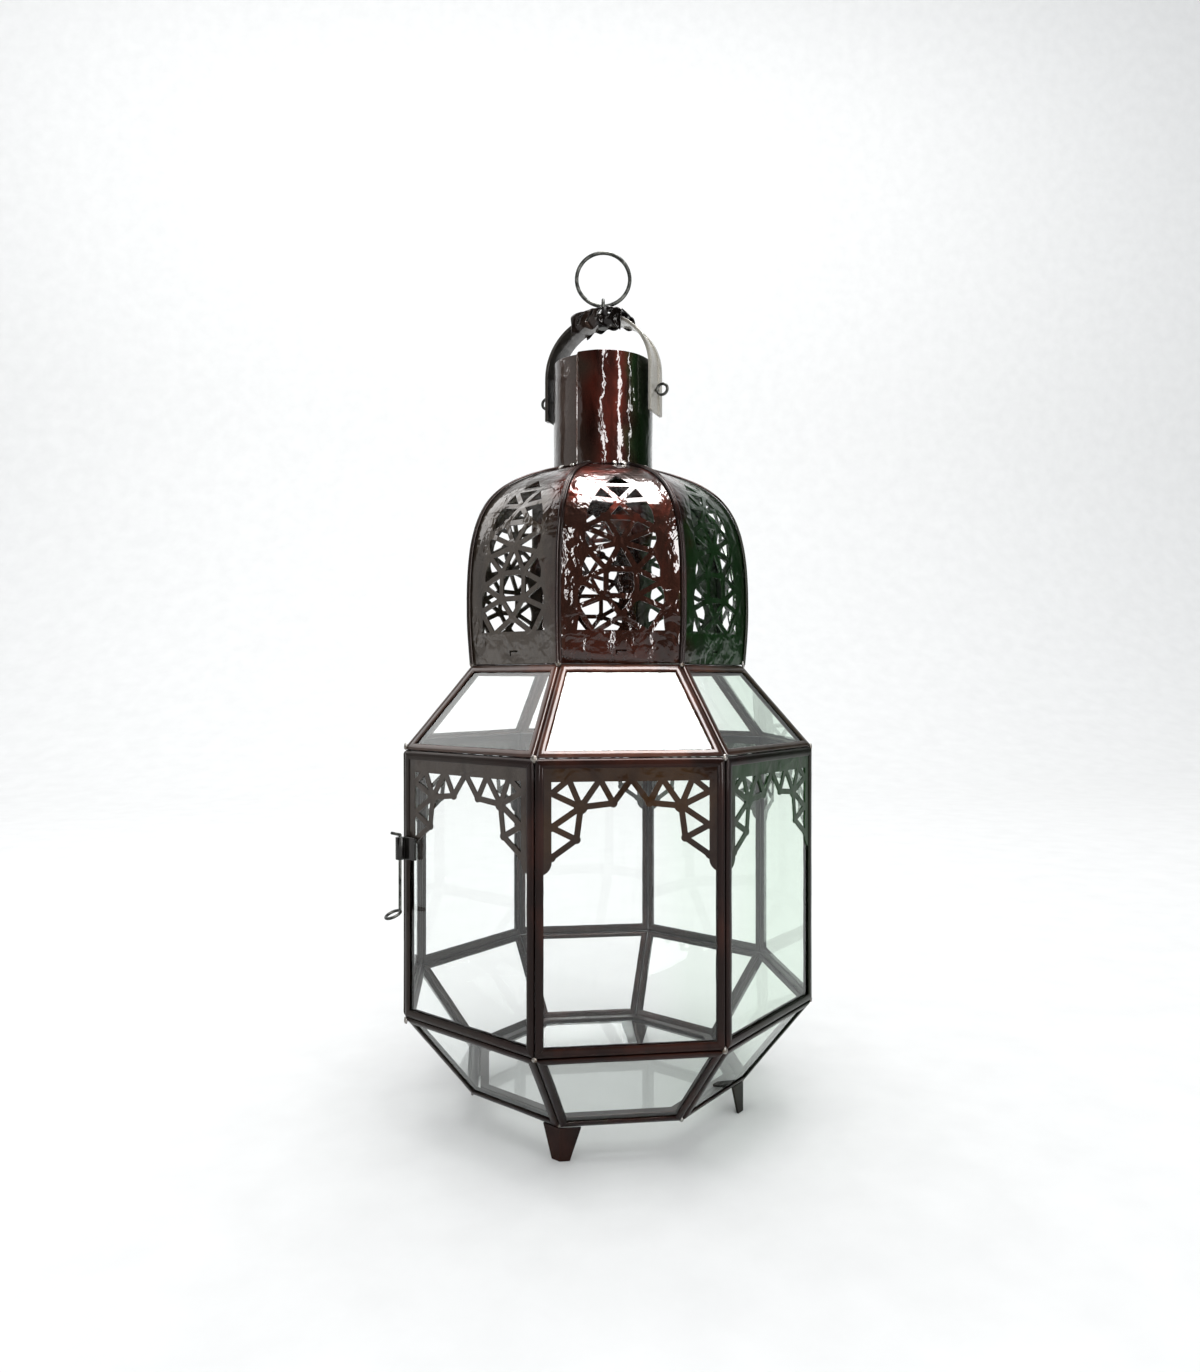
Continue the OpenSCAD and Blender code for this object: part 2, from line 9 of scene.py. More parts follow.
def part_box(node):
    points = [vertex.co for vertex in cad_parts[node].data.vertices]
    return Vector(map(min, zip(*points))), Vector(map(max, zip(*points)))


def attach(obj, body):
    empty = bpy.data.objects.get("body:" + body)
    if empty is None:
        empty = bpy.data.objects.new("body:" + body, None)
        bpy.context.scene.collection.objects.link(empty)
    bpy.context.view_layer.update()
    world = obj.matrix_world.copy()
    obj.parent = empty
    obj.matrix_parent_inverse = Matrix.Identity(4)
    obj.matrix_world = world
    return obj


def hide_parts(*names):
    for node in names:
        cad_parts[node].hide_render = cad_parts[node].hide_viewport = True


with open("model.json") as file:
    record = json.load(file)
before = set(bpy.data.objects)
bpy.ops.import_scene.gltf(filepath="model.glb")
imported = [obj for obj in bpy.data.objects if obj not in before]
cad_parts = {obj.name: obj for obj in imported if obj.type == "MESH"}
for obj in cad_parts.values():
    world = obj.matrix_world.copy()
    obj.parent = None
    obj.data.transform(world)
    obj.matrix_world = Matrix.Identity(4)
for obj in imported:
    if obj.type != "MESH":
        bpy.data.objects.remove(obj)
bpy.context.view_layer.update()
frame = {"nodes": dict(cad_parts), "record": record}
NODES = frame["nodes"]

MM = 0.001
HALF = math.radians(22.5)             # half the angle of one of the eight faces
SIDES = range(8)
DOOR_FACE = 6

# Sizes of the lantern, in millimetres, as the CAD model has them.
BODY_A = 100.0                        # from the axis to a face of the band
BOTTOM_A = 68.4                       # the same at the lower faces' bottom edge
BOTTOM_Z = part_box("lower_frames")[0].z / MM
BAND_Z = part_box("lower_frames")[1].z / MM
RIM_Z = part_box("shoulder_frames")[0].z / MM
DOME_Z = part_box("shoulder_frames")[1].z / MM
DOME_R = 73.5                         # from the axis to a ridge at the dome's base
DOME_A = DOME_R * math.cos(HALF)      # and to a face there
BELLY_R = 75.1                        # the ridge where the dome is widest
BELLY_H = 28.2
DOME_H = 101.0
STRIP_W = 4.2                         # width and depth of a folded strip
STRIP_D = 3.4
LIP = 0.5                             # thickness of its lips, and of its wall
WALL = 0.7
SEAM_GAP = 0.2                        # between neighbouring strips, filled with solder
DOOR_GAP = 0.7                        # round the door
CHIMNEY_R = 26.5
CHIMNEY_T = 0.8
RIM_PULL = Vector((38.4, -11.3))      # from the dome's top rim to its ridge curve's last handle
BELLY_PULL = Vector((0, 50))          # from the dome's widest point to the curve's first handle
CHIMNEY_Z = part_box("chimney_tube")[0].z / MM
CHIMNEY_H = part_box("chimney_tube")[1].z / MM - CHIMNEY_Z
BAIL_TURN = math.radians(-30)         # the bail's arch, from the X axis


# ---- materials ----

class Graph:
    """A material's node tree, written from its output back to its sources."""

    def __init__(self, name):
        self.material = bpy.data.materials.new(name)
        self.material.use_nodes = True
        self.tree = self.material.node_tree
        self.tree.nodes.clear()
        self.place = self.add("ShaderNodeTexCoord").outputs["Object"]

    def add(self, kind, inputs=None, **props):
        node = self.tree.nodes.new(kind)
        for key, value in props.items():
            setattr(node, key, value)
        for key, value in (inputs or {}).items():
            self.put(node.inputs[key], value)
        return node

    def put(self, socket, value):
        if isinstance(value, bpy.types.NodeSocket):
            self.tree.links.new(value, socket)
        else:
            socket.default_value = value

    def scaled(self, x, y, z, turn=0.0):
        node = self.add("ShaderNodeMapping", {"Vector": self.place, "Scale": (x, y, z), "Rotation": (0, 0, turn)})
        return node.outputs["Vector"]

    def noise(self, where, scale, detail=3.0, rough=0.55, distort=0.0):
        node = self.add("ShaderNodeTexNoise", {"Vector": where, "Scale": scale, "Detail": detail,
                                               "Roughness": rough, "Distortion": distort})
        return node.outputs["Fac"]

    def spread(self, value, low, high, to_low=0.0, to_high=1.0):
        node = self.add("ShaderNodeMapRange", {"Value": value, "From Min": low, "From Max": high,
                                               "To Min": to_low, "To Max": to_high})
        return node.outputs["Result"]

    def math(self, kind, a, b=0.0):
        return self.add("ShaderNodeMath", {0: a, 1: b}, operation=kind).outputs[0]

    def coords(self):
        """The place's X, Y and Z, each as a socket."""
        return self.add("ShaderNodeSeparateXYZ", {"Vector": self.place}).outputs

    def blend(self, share, a, b):
        node = self.add("ShaderNodeMix", data_type="RGBA")
        for index, value in ((0, share), (6, a), (7, b)):
            self.put(node.inputs[index], value)
        return node.outputs[2]

    def bump(self, height, depth, strength=1.0, normal=None):
        node = self.add("ShaderNodeBump", {"Height": height, "Distance": depth, "Strength": strength})
        if normal is not None:
            self.put(node.inputs["Normal"], normal)
        return node.outputs["Normal"]

    def finish(self, shader):
        self.add("ShaderNodeOutputMaterial", {"Surface": shader.outputs[0]})
        return self.material

    def surface(self, **settings):
        """The finished material, with one principled surface; underscores stand for spaces in its inputs."""
        inputs = {key.replace("_", " "): value for key, value in settings.items()}
        return self.finish(self.add("ShaderNodeBsdfPrincipled", inputs))


def colour(r, g, b):
    return (r, g, b, 1.0)


def lacquer(name, tints, wave, gloss=0.3, coat_gloss=0.05, dents=0.0, metal=0.6, painted_reflection_zones=(0.028, 0.035), coat=0.8,
            tucked=False, painted_shade_below=None):
    """Thin tinted lacquer over sheet metal. Its colour goes from grey-brown on the left through red-brown to
    bottle green on the right, pools and thins, and the sheet under it is never quite flat. The grey-brown and the
    bottle green are painted reflections of a pale wall and of green surroundings, not the lacquer's own tint.

    tints are the left, middle, pooled middle and right colours; the left and right ones are painted reflections.
    The zone pair says how far from the axis the left and right painted reflections start to take over and have
    taken over, and the height pair for the pooled colour does the same by height, leaving the lower part dark as
    painted shade. wave and dents are how uneven the sheet is, in broad swells and in small dents.
    A tucked sheet curls in at the ridges between the eight faces, where it is folded into the seams."""
    left, middle, pooled, right = tints
    g = Graph(name)
    spot = g.coords()
    drift = g.spread(g.noise(g.place, 45, 2), 0.3, 0.7, -4 * MM, 4 * MM)
    across = g.math("ADD", spot["X"], drift)
    pools = g.noise(g.scaled(1, 1, 0.5), 38, 3, 0.5, 0.6)
    runs = g.noise(g.scaled(1, 1, 0.14), 130, 2, 0.5, 0.3)
    fine = g.noise(g.place, 1400, 2)
    pooling = g.spread(pools, 0.46, 0.62)
    # Painted shade: below these heights the pooled red falls to 12 percent, so the lower part of the dome stays
    # dark.
    if painted_shade_below:
        pooling = g.math("MULTIPLY", pooling, g.spread(g.math("ADD", spot["Z"], drift), *painted_shade_below, 0.12, 1.0))
    tint = g.blend(pooling, middle, pooled)
    # Painted reflections: the left tint takes over on faces left of the axis, and the right tint on faces right
    # of it.
    tint = g.blend(g.spread(across, -painted_reflection_zones[0], -painted_reflection_zones[1]), tint, left)
    tint = g.blend(g.spread(across, painted_reflection_zones[0], painted_reflection_zones[1]), tint, right)
    tint = g.blend(g.spread(runs, 0.5, 0.75, 0, 0.5), tint, colour(0.012, 0.008, 0.006))
    tint = g.blend(g.spread(fine, 0.35, 0.7, 0, 0.25), tint, colour(0.008, 0.006, 0.005))
    scratches = g.noise(g.scaled(1, 1, 0.03, 0.5), 1900, 1)
    scuff = g.spread(scratches, 0.6, 0.72, 0, 0.12)
    rough = g.math("ADD", g.spread(pools, 0.35, 0.7, gloss, gloss + 0.14), scuff)
    sheet = g.noise(g.scaled(1, 1, 0.8), 55, 1.5, 0.4)
    grain = g.noise(g.place, 700, 2)
    normal = g.bump(sheet, 1.6 * MM * wave)
    if dents:
        normal = g.bump(g.noise(g.scaled(1, 1, 0.8), 150, 2.5, 0.5, 0.5), dents * MM, 1.0, normal)
    if tucked:
        height = g.spread(spot["Z"], 0.25, 0.31)
        turns = g.math("DIVIDE", g.math("ARCTAN2", spot["Y"], spot["X"]), 2 * HALF)
        share = g.math("FRACT", g.math("ADD", turns, len(SIDES) + 0.5))
        from_middle = g.math("ABSOLUTE", g.math("SUBTRACT", share, 0.5))
        fold = g.math("POWER", g.spread(from_middle, 0.34, 0.5), 2.0)
        fold = g.math("MULTIPLY", fold, g.math("ADD", 0.35, height))
        normal = g.bump(fold, -0.7 * MM, 1.0, normal)
    normal = g.bump(grain, 0.02 * MM, 0.4, normal)
    return g.surface(Base_Color=tint, Metallic=metal, Roughness=rough, Specular_IOR_Level=0.05, Normal=normal,
                     Coat_Weight=coat, Coat_Roughness=coat_gloss, Coat_IOR=1.6, Coat_Normal=normal)


def solder_metal(name):
    """Dull tin solder with a little flux stain."""
    g = Graph(name)
    stain = g.noise(g.place, 420, 3)
    tint = g.blend(g.spread(stain, 0.4, 0.65), colour(0.32, 0.31, 0.29), colour(0.1, 0.075, 0.055))
    normal = g.bump(g.noise(g.place, 900, 3), 0.12 * MM, 0.7)
    return g.surface(Base_Color=tint, Metallic=0.9, Roughness=g.spread(stain, 0.3, 0.7, 0.22, 0.5), Normal=normal)


def wire_metal(name, tint_a, tint_b, rough):
    """Drawn wire with darkened skin, rubbed lighter in spots."""
    g = Graph(name)
    rub = g.noise(g.place, 260, 3)
    tint = g.blend(g.spread(rub, 0.42, 0.62), tint_a, tint_b)
    normal = g.bump(g.noise(g.place, 1600, 2), 0.03 * MM, 0.6)
    return g.surface(Base_Color=tint, Metallic=0.9, Roughness=g.spread(rub, 0.3, 0.7, rough, rough + 0.2),
                     Normal=normal)


def window_glass(name, tint, painted_green_glass_reflection):
    """Thin old window glass: clear, with a green painted reflection tinting the panes on the right, slightly
    rippled, with dust and drip marks.
    """
    g = Graph(name)
    # Painted reflection: the panes on the right take a green tint for the green surroundings mirrored in them.
    tint = g.blend(g.spread(g.coords()["X"], 0.035, 0.06), tint, painted_green_glass_reflection)
    ripple = g.noise(g.scaled(1, 1, 0.6), 24, 1.5, 0.4)
    normal = g.bump(ripple, 0.35 * MM, 0.35)
    dust = g.noise(g.scaled(1, 1, 0.5), 160, 4, 0.65)
    drips = g.noise(g.scaled(1, 1, 0.07), 240, 2)
    veil = g.math("ADD", g.spread(dust, 0.5, 0.8, 0.0, 0.014), g.spread(drips, 0.6, 0.8, 0.0, 0.025))
    fresnel = g.add("ShaderNodeFresnel", {"IOR": 1.55, "Normal": normal}).outputs[0]
    outside = g.math("SUBTRACT", 1.0, g.add("ShaderNodeNewGeometry").outputs["Backfacing"])
    share = g.math("MULTIPLY", g.math("MULTIPLY", fresnel, 1.15), outside)
    through = g.add("ShaderNodeBsdfTransparent", {"Color": tint})
    mirror = g.add("ShaderNodeBsdfGlossy", {"Color": colour(0.95, 0.97, 0.96), "Roughness": 0.015,
                                            "Normal": normal})
    film = g.add("ShaderNodeBsdfDiffuse", {"Color": colour(0.62, 0.64, 0.6)})
    clear = g.add("ShaderNodeMixShader", {0: share, 1: through.outputs[0], 2: mirror.outputs[0]})
    dusty = g.add("ShaderNodeMixShader", {0: g.math("MULTIPLY", veil, outside), 1: clear.outputs[0],
                                          2: film.outputs[0]})
    return g.finish(dusty)


def studio_paper(name):
    """Pale seamless paper."""
    g = Graph(name)
    mottle = g.noise(g.place, 30, 4)
    tint = g.blend(g.spread(mottle, 0.3, 0.7), colour(0.80, 0.80, 0.79), colour(0.84, 0.84, 0.83))
    normal = g.bump(g.noise(g.place, 900, 2), 0.05 * MM, 0.3)
    return g.surface(Base_Color=tint, Roughness=0.75, Normal=normal, Specular_IOR_Level=0.2)


# In each lacquer below, the first tint (left faces) and the last tint (right faces) are painted light, not the
# lacquer's own colour. For the sheets they are grey-brown and green painted reflections of the surroundings, and
# for the bail they are the painted shade and highlight noted there. In the sheet lacquer the pooled red is held
# above a height, leaving painted shade below.
PAINTED_LEFT_REFLECTION = colour(0.052, 0.039, 0.028)
PAINTED_GREEN_REFLECTION = colour(0.012, 0.046, 0.011)
sheet_mat = lacquer("lacquered_sheet", (PAINTED_LEFT_REFLECTION, colour(0.022, 0.007, 0.004), colour(0.140, 0.018, 0.008),
                                        PAINTED_GREEN_REFLECTION), wave=1.0, dents=0.8, tucked=True, painted_shade_below=(0.268, 0.284))
valance_mat = lacquer("valance_lacquer", (colour(0.050, 0.038, 0.030), colour(0.016, 0.007, 0.004),
                                          colour(0.034, 0.016, 0.006), PAINTED_GREEN_REFLECTION), wave=0.6, dents=0.35,
                      painted_reflection_zones=(0.040, 0.048), coat=0.4)
chimney_mat = lacquer("chimney_lacquer", (colour(0.042, 0.025, 0.018), colour(0.022, 0.006, 0.004),
                                          colour(0.070, 0.011, 0.006), colour(0.009, 0.024, 0.007)),
                      wave=0.6, dents=0.42, painted_reflection_zones=(0.008, 0.016))
strip_mat = lacquer("dark_strip", (colour(0.020, 0.013, 0.010), colour(0.011, 0.004, 0.003),
                                   colour(0.026, 0.008, 0.005), colour(0.010, 0.013, 0.006)), wave=0.12,
                    painted_reflection_zones=(0.05, 0.07), coat=0.2)
copper_mat = lacquer("copper_strip", (colour(0.055, 0.030, 0.022), colour(0.060, 0.020, 0.013),
                                      colour(0.130, 0.048, 0.030), colour(0.040, 0.028, 0.018)), wave=0.12,
                     metal=0.12, painted_reflection_zones=(0.03, 0.06), coat=0.45)
# Painted light on the bail: its dark left tint is painted shade, and its pale right tint is a painted highlight
# on the right leg.
bail_mat = lacquer("bail_sheet", (colour(0.055, 0.048, 0.040), colour(0.090, 0.076, 0.062),
                                  colour(0.170, 0.150, 0.125), colour(0.420, 0.395, 0.340)), wave=0.3,
                   gloss=0.35, coat_gloss=0.12, dents=0.1, metal=0.3, painted_reflection_zones=(0.006, 0.014))
black_mat = lacquer("blackened_sheet", (colour(0.010, 0.009, 0.008), colour(0.008, 0.006, 0.005),
                                        colour(0.030, 0.018, 0.013), colour(0.010, 0.008, 0.007)), wave=0.3,
                    gloss=0.25, coat=0.5)
wire_mat = wire_metal("dark_wire", colour(0.035, 0.036, 0.033), colour(0.11, 0.11, 0.10), 0.25)
solder_mat = solder_metal("solder")
# The second tint is the green painted reflection for the right-hand panes.
glass_mat = window_glass("clear_glass", colour(0.985, 0.991, 0.988), colour(0.935, 0.968, 0.940))
paper_mat = studio_paper("studio_paper")

BY_SLOT = {"lacquered_sheet": sheet_mat, "dark_strip": strip_mat, "copper_strip": copper_mat,
           "bail_sheet": bail_mat, "blackened_sheet": black_mat, "dark_wire": wire_mat, "clear_glass": glass_mat}


# ---- the CAD pieces ----

def welded(node):
    """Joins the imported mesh's split corners, so that its shading and its edges are whole."""
    weld = node.modifiers.new("weld", "WELD")
    weld.merge_threshold = 0.002 * MM


def rounded(node, width, segments=2):
    bevel = node.modifiers.new("round", "BEVEL")
    bevel.width = width
    bevel.segments = segments
    bevel.limit_method = "ANGLE"
    bevel.angle_limit = math.radians(35)
    bevel.use_clamp_overlap = True
    bevel.harden_normals = True


WIRES = ("hang_ring", "ring_eye", "bail_pin_left", "bail_pin_right", "latch_wire")

for part in frame["record"]["subparts"]:
    materials = NODES[part["node"]].data.materials
    materials.clear()
    materials.append(valance_mat if "valance" in part["node"] else BY_SLOT[part["material_slot"]])

for name, node in NODES.items():
    welded(node)
    if "glass" in name:
        rounded(node, 0.15 * MM, 1)
    elif name.startswith(("dome_gore", "valance", "door_valance")):
        rounded(node, 0.14 * MM)
    elif name not in WIRES:
        rounded(node, 0.25 * MM)


# ---- new pieces ----

def piece(name, verts, faces, material, body, slot, *nodes, smooth=50):
    """A mesh piece with its corners in millimetres, which rides on a body and stands for CAD nodes."""
    mesh = bpy.data.meshes.new(name)
    mesh.from_pydata([Vector(v) * MM for v in verts], [], faces)
    mesh.validate()
    mesh.set_sharp_from_angle(angle=math.radians(smooth))
    mesh.materials.append(material)
    obj = bpy.data.objects.new(name, mesh)
    bpy.context.scene.collection.objects.link(obj)
    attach(obj, body)
    if nodes:
        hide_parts(*nodes)
    return obj


def ripple(p, scale, seed=0.0):
    """Smooth unevenness from -1 to 1 at a place, with bumps about scale millimetres long."""
    return noise.noise(Vector(p) / scale + Vector((seed, 1.7 * seed, -seed)))


def add_tube(verts, faces, rings, closed=False):
    """Adds a tube through rings of equally many points, with a cap at each end unless it closes on itself."""
    first, n = len(verts), len(rings[0])
    for ring in rings:
        verts.extend(ring)
    for s in range(len(rings) - (0 if closed else 1)):
        a, b = first + s * n, first + (s + 1) % len(rings) * n
        for i in range(n):
            faces.append((a + i, a + (i + 1) % n, b + (i + 1) % n, b + i))
    if not closed:
        faces.append(tuple(range(first + n - 1, first - 1, -1)))
        faces.append(tuple(range(first + (len(rings) - 1) * n, first + len(rings) * n)))


class Face:
    """The plane of one face of the body: x along it, y up it, and depth inwards from its outer surface."""

    def __init__(self, side, a0, z0, a1, z1, gap, level_gap):
        turn = math.radians(45 * side)
        self.x = Vector((math.cos(turn), math.sin(turn), 0))
        level_out = Vector((math.sin(turn), -math.cos(turn), 0))
        self.rise = math.hypot(a1 - a0, z1 - z0)
        self.y = (level_out * (a1 - a0) + Vector((0, 0, z1 - z0))) / self.rise
        self.out = self.x.cross(self.y)
        self.origin = level_out * a0 + Vector((0, 0, z0))
        h0, h1 = a0 * math.tan(HALF), a1 * math.tan(HALF)
        self.corners = [Vector((-h0, 0)), Vector((h0, 0)), Vector((h1, self.rise)), Vector((-h1, self.rise))]
        side_cut = level_out * math.sin(HALF)
        cuts = [Vector((0, 0, 1)), side_cut - self.x * math.cos(HALF), Vector((0, 0, -1)),
                side_cut + self.x * math.cos(HALF)]
        self.inward, self.lean, self.setback = [], [], []
        for i in range(4):
            along = (self.corners[(i + 1) % 4] - self.corners[i]).normalized()
            inward = Vector((-along.y, along.x))
            facing = cuts[i].dot(self.x * inward.x + self.y * inward.y)
            self.inward.append(inward)
            self.lean.append(cuts[i].dot(self.out) / facing)
            self.setback.append((gap if i % 2 else level_gap) / 2 / facing)

    def inset(self, distances):
        """The face's four corners, each edge moved inwards by its own distance."""
        moved = []
        for i in range(4):
            a, b = self.inward[i - 1], self.inward[i]
            da, db = distances[i - 1], distances[i]
            det = a.x * b.y - a.y * b.x
            moved.append(self.corners[i] + Vector(((da * b.y - db * a.y) / det, (a.x * db - b.x * da) / det)))
        return moved

    def place(self, flat, depth):
        return self.origin + self.x * flat.x + self.y * flat.y - self.out * depth


# Outer skin of a folded strip, as (distance in from its edge, depth), from one lip round to the other.
SKIN = [(4.2, 0.5), (4.2, 0.36), (3.95, 0.17), (3.4, 0.04), (2.6, 0.0), (1.85, 0.06), (1.15, 0.27), (0.6, 0.62),
        (0.2, 1.1), (0.0, 1.7), (0.06, 2.4), (0.35, 2.95), (0.95, 3.3), (1.8, 3.4), (3.4, 3.4), (3.95, 3.28),
        (4.2, 3.05), (4.2, 2.9)]


def folded_strips(verts, faces, face):
    """Four channel strips round a pane, mitred at its corners, a little wavy as if folded by hand."""
    rings = []
    for u, v in SKIN:
        lean = v * (1 - u / STRIP_W)
        rings.append(([face.setback[i] + u + face.lean[i] * lean for i in range(4)], v, u))
    for v in (STRIP_D - LIP, LIP):
        floor = [face.setback[i] + WALL + max(face.lean[i] * (STRIP_D - LIP), 0) for i in range(4)]
        rings.append((floor, v, 0))
    outlines = [(face.inset(distances), v, u) for distances, v, u in rings]
    hair, step, sunk, curled = 0.05, 5, 0.09, 0.16
    for i in range(4):
        length = (face.corners[(i + 1) % 4] - face.corners[i]).length
        steps = max(5, round(length / step))
        along = []
        for s in range(steps + 1):
            share = hair / length + (1 - 2 * hair / length) * s / steps
            fade = math.sin(math.pi * s / steps) ** 0.5
            ring = []
            for corners, v, u in outlines:
                flat = corners[i].lerp(corners[(i + 1) % 4], share)
                spot = face.place(flat, v)
                sink = sunk * (1 + ripple(spot, 13)) * fade
                curl = curled * ripple(spot, 7, 5.3) * fade if u > 3 else 0
                ring.append(face.place(flat + face.inward[i] * curl, v + sink))
            along.append(ring)
        add_tube(verts, faces, along)


def strip_piece(name, faces_of_body, material, body, slot, *nodes):
    verts, faces = [], []
    for face in faces_of_body:
        folded_strips(verts, faces, face)
    return piece(name, verts, faces, material, body, slot, *nodes, smooth=42)


for side in SIDES:
    door = side == DOOR_FACE
    gap = DOOR_GAP if door else SEAM_GAP
    upright = Face(side, BODY_A, BAND_Z, BODY_A, RIM_Z, gap, gap)
    if door:
        strip_piece("door_strips", [upright], strip_mat, "door", "dark_strip", "door_frame")
    else:
        strip_piece(f"band_strips_{side + 1}", [upright], strip_mat, "body", "dark_strip",
                    f"band_frame_{side + 1}")
strip_piece("shoulder_strips", [Face(i, BODY_A, RIM_Z, DOME_A, DOME_Z, SEAM_GAP, 0) for i in SIDES],
            copper_mat, "body", "copper_strip", "shoulder_frames")
strip_piece("lower_strips", [Face(i, BOTTOM_A, BOTTOM_Z, BODY_A, BAND_Z, SEAM_GAP, 0) for i in SIDES],
            strip_mat, "body", "dark_strip", "lower_frames")


def post_way(k):
    """Outward direction of post k, and the level direction across it."""
    turn = math.radians(45 * k - 90) - HALF
    return Vector((math.cos(turn), math.sin(turn), 0)), Vector((-math.sin(turn), math.cos(turn), 0))


def ridge_line():
    """Ridge of the dome as (circumradius, height over the dome's base): a swell, then one cubic curve."""
    points = [(DOME_R + (BELLY_R - DOME_R) * math.sin(math.pi / 2 * t), BELLY_H * t)
              for t in (0, 0.2, 0.4, 0.6, 0.8)]
    belly, rim = Vector((BELLY_R, BELLY_H)), Vector((CHIMNEY_R, DOME_H))
    a, b, c, d = belly, belly + BELLY_PULL, rim + RIM_PULL, rim
    curve_steps = 36
    for step in range(curve_steps + 1):
        t = step / curve_steps
        p = a * (1 - t) ** 3 + b * 3 * t * (1 - t) ** 2 + c * 3 * t * t * (1 - t) + d * t ** 3
        points.append((p.x, p.y))
    return points


# Section of a folded seam, as (across, out): two rolled beads with a crease between them.
BEADS = [(-1.4, 0.0), (-1.4, 0.4), (-1.22, 0.78), (-0.82, 1.0), (-0.4, 0.84), (-0.12, 0.45), (0.12, 0.45),
         (0.4, 0.84), (0.82, 1.0), (1.22, 0.78), (1.4, 0.4), (1.4, 0.0)]


def ridge_seams():
    """The eight seams, pressed here and there, a hair clear of the ridges they cover."""
    line = ridge_line()
    clear_out, clear_up = 0.06, 0.16
    verts, faces = [], []
    for k in SIDES:
        out, across = post_way(k)
        rings = []
        for i, (r, h) in enumerate(line):
            before, after = line[max(i - 1, 0)], line[min(i + 1, len(line) - 1)]
            run = Vector((after[0] - before[0], after[1] - before[1])).normalized()
            spot = out * (r + clear_out) + Vector((0, 0, DOME_Z + clear_up + h))
            lift = out * run.y - Vector((0, 0, 1)) * run.x
            sway = across * 0.22 * ripple(spot, 16, 2.1)
            press = 1 - 0.12 * abs(ripple(spot, 6, 8.8))
            rings.append([spot + sway + across * w + lift * h_out * press for w, h_out in BEADS])
        add_tube(verts, faces, rings)
    return piece("ridge_seams", verts, faces, strip_mat, "body", "dark_strip", "dome_seams", smooth=60)


ridge_seams()


def rolled_chimney():
    """Hand-rolled tube: its sheet overlaps in a lapped seam, and its rim runs down to one side."""
    lap_edge, lap_turn, lap_fade = -127, 26, 20          # degrees
    lap_rise, rim_drop, creased, dented = 0.6, 1.6, 0.17, 0.34
    rim_run = 160                                        # degrees that the rim's run down takes
    facet, levels = 3, 26
    around = sorted(set(range(0, 360, facet)) | {360 + lap_edge - 0.5, 360 + lap_edge + 0.5})
    rings = []
    for degrees in around:
        turn = math.radians(degrees)
        way = Vector((math.cos(turn), math.sin(turn), 0))
        past = (lap_edge - degrees) % 360
        lap = lap_rise if past < lap_turn else lap_rise * max(0, 1 - (past - lap_turn) / lap_fade)
        top = CHIMNEY_H - rim_drop * max(0, 1 - past / rim_run)
        outer, inner = [], []
        for level in range(levels + 1):
            z = top * level / levels
            spot = way * CHIMNEY_R + Vector((0, 0, z))
            crease = ripple((spot.x, spot.y, z * 0.4), 7, 3.3)
            dent = ripple((spot.x, spot.y, z * 0.8), 19, 6.1)
            wave = -creased * (1 + crease) - dented * (1 + dent)
            outer.append(way * (CHIMNEY_R + lap + wave) + Vector((0, 0, CHIMNEY_Z + z)))
            inner.append(way * (CHIMNEY_R - CHIMNEY_T + wave) + Vector((0, 0, CHIMNEY_Z + z)))
        rings.append(outer + inner[::-1])
    verts, faces = [], []
    add_tube(verts, faces, rings, closed=True)
    tube = piece("chimney_sheet", verts, faces, chimney_mat, "body", "lacquered_sheet", "chimney_tube", smooth=40)
    edge = tube.modifiers.new("edge", "BEVEL")
    edge.width = 0.2 * MM
    edge.segments = 2
    edge.angle_limit = math.radians(50)
    return tube


rolled_chimney()


def dab(verts, faces, centre, out, size, flat, seed):
    """A drop of solder: a ball flattened against the metal, lumpy and run out a little downwards."""
    out = Vector(out).normalized()
    side = out.cross(Vector((0, 0, 1))).normalized()
    down = side.cross(out)
    rows, cols = 8, 14
    first = len(verts)
    verts.append(Vector(centre) + out * flat)
    for row in range(1, rows):
        polar = math.pi * row / rows
        for col in range(cols):
            turn = 2 * math.pi * col / cols
            ball = (side * math.cos(turn) + down * math.sin(turn)) * math.sin(polar)
            lump = 1 + 0.28 * ripple(ball * 2.0, 1.3, seed)
            verts.append(Vector(centre) + ball * size * lump + out * math.cos(polar) * flat * lump)
    verts.append(Vector(centre) - out * flat)
    for col in range(cols):
        after = (col + 1) % cols
        faces.append((first, first + 1 + col, first + 1 + after))
        for row in range(rows - 2):
            a, b = first + 1 + row * cols, first + 1 + (row + 1) * cols
            faces.append((a + col, b + col, b + after, a + after))
        last = first + 1 + (rows - 2) * cols
        faces.append((last + col, first + 1 + (rows - 1) * cols, last + after))


